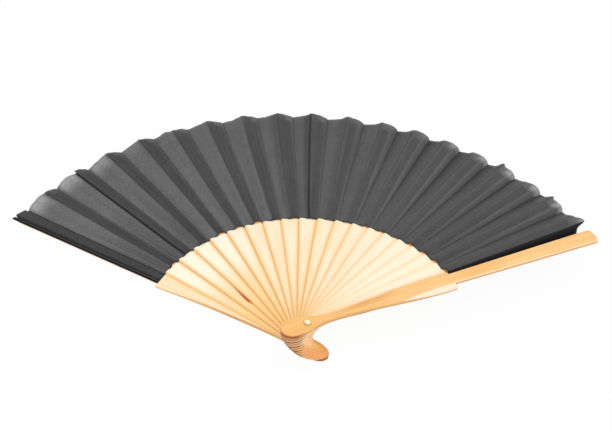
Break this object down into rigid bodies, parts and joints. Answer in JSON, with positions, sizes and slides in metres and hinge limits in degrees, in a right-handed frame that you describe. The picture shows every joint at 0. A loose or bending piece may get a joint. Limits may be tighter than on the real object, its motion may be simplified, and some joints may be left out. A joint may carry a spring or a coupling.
{
  "type": "folding hand fan",
  "caption": "Folding hand fan: thin bamboo sticks and two guards turn on one rivet and carry a pleated black cloth leaf.",
  "frame": {"origin": "on the pivot axis, at the flat back end of the rivet, level with the outer face of the back guard", "axes": "+Z along the pivot axis towards the front guard, +Y the middle of the open fan, +X to the front guard side"},
  "size_m": [0.3782, 0.2255, 0.0217],
  "materials": {
    "guard_bamboo": "smooth sealed bamboo, satin",
    "rib_bamboo": "thin sanded bamboo, satin",
    "leaf_cloth": "thin black woven cloth, slightly sheer",
    "rivet_brass": "pale polished brass"
  },
  "bodies": {
    "back_stick": {"back_guard": "guard_bamboo", "rivet": "rivet_brass", "rivet_washer": "rivet_brass", "leaf_fold_00": "leaf_cloth"},
    "stick_01": {"rib_01": "rib_bamboo", "leaf_panel_01": "leaf_cloth", "leaf_fold_01": "leaf_cloth"},
    "stick_02": {"rib_02": "rib_bamboo", "leaf_panel_02": "leaf_cloth", "leaf_fold_02": "leaf_cloth"},
    "stick_03": {"rib_03": "rib_bamboo", "leaf_panel_03": "leaf_cloth", "leaf_fold_03": "leaf_cloth"},
    "stick_04": {"rib_04": "rib_bamboo", "leaf_panel_04": "leaf_cloth", "leaf_fold_04": "leaf_cloth"},
    "stick_05": {"rib_05": "rib_bamboo", "leaf_panel_05": "leaf_cloth", "leaf_fold_05": "leaf_cloth"},
    "stick_06": {"rib_06": "rib_bamboo", "leaf_panel_06": "leaf_cloth", "leaf_fold_06": "leaf_cloth"},
    "stick_07": {"rib_07": "rib_bamboo", "leaf_panel_07": "leaf_cloth", "leaf_fold_07": "leaf_cloth"},
    "stick_08": {"rib_08": "rib_bamboo", "leaf_panel_08": "leaf_cloth", "leaf_fold_08": "leaf_cloth"},
    "stick_09": {"rib_09": "rib_bamboo", "leaf_panel_09": "leaf_cloth", "leaf_fold_09": "leaf_cloth"},
    "stick_10": {"rib_10": "rib_bamboo", "leaf_panel_10": "leaf_cloth", "leaf_fold_10": "leaf_cloth"},
    "stick_11": {"rib_11": "rib_bamboo", "leaf_panel_11": "leaf_cloth", "leaf_fold_11": "leaf_cloth"},
    "stick_12": {"rib_12": "rib_bamboo", "leaf_panel_12": "leaf_cloth", "leaf_fold_12": "leaf_cloth"},
    "stick_13": {"rib_13": "rib_bamboo", "leaf_panel_13": "leaf_cloth", "leaf_fold_13": "leaf_cloth"},
    "stick_14": {"rib_14": "rib_bamboo", "leaf_panel_14": "leaf_cloth", "leaf_fold_14": "leaf_cloth"},
    "stick_15": {"rib_15": "rib_bamboo", "leaf_panel_15": "leaf_cloth", "leaf_fold_15": "leaf_cloth"},
    "stick_16": {"rib_16": "rib_bamboo", "leaf_panel_16": "leaf_cloth", "leaf_fold_16": "leaf_cloth"},
    "stick_17": {"rib_17": "rib_bamboo", "leaf_panel_17": "leaf_cloth", "leaf_fold_17": "leaf_cloth"},
    "stick_18": {"rib_18": "rib_bamboo", "leaf_panel_18": "leaf_cloth"},
    "front_stick": {"front_guard": "guard_bamboo", "leaf_fold_18": "leaf_cloth"}
  },
  "joints": [
    {"name": "pivot_01", "type": "hinge", "parent": "back_stick", "child": "stick_01", "pos_m": [0, 0, 0], "axis": [0, 0, 1], "range_deg": [0, 7.7], "deforming": ["leaf_fold_00"]},
    {"name": "pivot_02", "type": "hinge", "parent": "stick_01", "child": "stick_02", "pos_m": [0, 0, 0], "axis": [0, 0, 1], "range_deg": [0, 7.58], "deforming": ["leaf_fold_01"]},
    {"name": "pivot_03", "type": "hinge", "parent": "stick_02", "child": "stick_03", "pos_m": [0, 0, 0], "axis": [0, 0, 1], "range_deg": [0, 7.47], "deforming": ["leaf_fold_02"]},
    {"name": "pivot_04", "type": "hinge", "parent": "stick_03", "child": "stick_04", "pos_m": [0, 0, 0], "axis": [0, 0, 1], "range_deg": [0, 7.35], "deforming": ["leaf_fold_03"]},
    {"name": "pivot_05", "type": "hinge", "parent": "stick_04", "child": "stick_05", "pos_m": [0, 0, 0], "axis": [0, 0, 1], "range_deg": [0, 7.23], "deforming": ["leaf_fold_04"]},
    {"name": "pivot_06", "type": "hinge", "parent": "stick_05", "child": "stick_06", "pos_m": [0, 0, 0], "axis": [0, 0, 1], "range_deg": [0, 7.12], "deforming": ["leaf_fold_05"]},
    {"name": "pivot_07", "type": "hinge", "parent": "stick_06", "child": "stick_07", "pos_m": [0, 0, 0], "axis": [0, 0, 1], "range_deg": [0, 7], "deforming": ["leaf_fold_06"]},
    {"name": "pivot_08", "type": "hinge", "parent": "stick_07", "child": "stick_08", "pos_m": [0, 0, 0], "axis": [0, 0, 1], "range_deg": [0, 6.88], "deforming": ["leaf_fold_07"]},
    {"name": "pivot_09", "type": "hinge", "parent": "stick_08", "child": "stick_09", "pos_m": [0, 0, 0], "axis": [0, 0, 1], "range_deg": [0, 6.77], "deforming": ["leaf_fold_08"]},
    {"name": "pivot_10", "type": "hinge", "parent": "stick_09", "child": "stick_10", "pos_m": [0, 0, 0], "axis": [0, 0, 1], "range_deg": [0, 6.65], "deforming": ["leaf_fold_09"]},
    {"name": "pivot_11", "type": "hinge", "parent": "stick_10", "child": "stick_11", "pos_m": [0, 0, 0], "axis": [0, 0, 1], "range_deg": [0, 6.53], "deforming": ["leaf_fold_10"]},
    {"name": "pivot_12", "type": "hinge", "parent": "stick_11", "child": "stick_12", "pos_m": [0, 0, 0], "axis": [0, 0, 1], "range_deg": [0, 6.42], "deforming": ["leaf_fold_11"]},
    {"name": "pivot_13", "type": "hinge", "parent": "stick_12", "child": "stick_13", "pos_m": [0, 0, 0], "axis": [0, 0, 1], "range_deg": [0, 6.3], "deforming": ["leaf_fold_12"]},
    {"name": "pivot_14", "type": "hinge", "parent": "stick_13", "child": "stick_14", "pos_m": [0, 0, 0], "axis": [0, 0, 1], "range_deg": [0, 6.18], "deforming": ["leaf_fold_13"]},
    {"name": "pivot_15", "type": "hinge", "parent": "stick_14", "child": "stick_15", "pos_m": [0, 0, 0], "axis": [0, 0, 1], "range_deg": [0, 6.07], "deforming": ["leaf_fold_14"]},
    {"name": "pivot_16", "type": "hinge", "parent": "stick_15", "child": "stick_16", "pos_m": [0, 0, 0], "axis": [0, 0, 1], "range_deg": [0, 5.95], "deforming": ["leaf_fold_15"]},
    {"name": "pivot_17", "type": "hinge", "parent": "stick_16", "child": "stick_17", "pos_m": [0, 0, 0], "axis": [0, 0, 1], "range_deg": [0, 5.83], "deforming": ["leaf_fold_16"]},
    {"name": "pivot_18", "type": "hinge", "parent": "stick_17", "child": "stick_18", "pos_m": [0, 0, 0], "axis": [0, 0, 1], "range_deg": [0, 5.72], "deforming": ["leaf_fold_17"]},
    {"name": "pivot_19", "type": "hinge", "parent": "stick_18", "child": "front_stick", "pos_m": [0, 0, 0], "axis": [0, 0, 1], "range_deg": [0, 5.6], "deforming": ["leaf_fold_18"]}
  ],
  "couplings": [
    {"joint": "pivot_02", "follows": "pivot_01", "ratio": 0.98484},
    {"joint": "pivot_03", "follows": "pivot_01", "ratio": 0.9697},
    {"joint": "pivot_04", "follows": "pivot_01", "ratio": 0.95454},
    {"joint": "pivot_05", "follows": "pivot_01", "ratio": 0.93939},
    {"joint": "pivot_06", "follows": "pivot_01", "ratio": 0.92425},
    {"joint": "pivot_07", "follows": "pivot_01", "ratio": 0.90909},
    {"joint": "pivot_08", "follows": "pivot_01", "ratio": 0.89394},
    {"joint": "pivot_09", "follows": "pivot_01", "ratio": 0.87879},
    {"joint": "pivot_10", "follows": "pivot_01", "ratio": 0.86364},
    {"joint": "pivot_11", "follows": "pivot_01", "ratio": 0.84848},
    {"joint": "pivot_12", "follows": "pivot_01", "ratio": 0.83334},
    {"joint": "pivot_13", "follows": "pivot_01", "ratio": 0.81818},
    {"joint": "pivot_14", "follows": "pivot_01", "ratio": 0.80302},
    {"joint": "pivot_15", "follows": "pivot_01", "ratio": 0.78788},
    {"joint": "pivot_16", "follows": "pivot_01", "ratio": 0.77273},
    {"joint": "pivot_17", "follows": "pivot_01", "ratio": 0.75757},
    {"joint": "pivot_18", "follows": "pivot_01", "ratio": 0.74243},
    {"joint": "pivot_19", "follows": "pivot_01", "ratio": 0.72727}
  ]
}
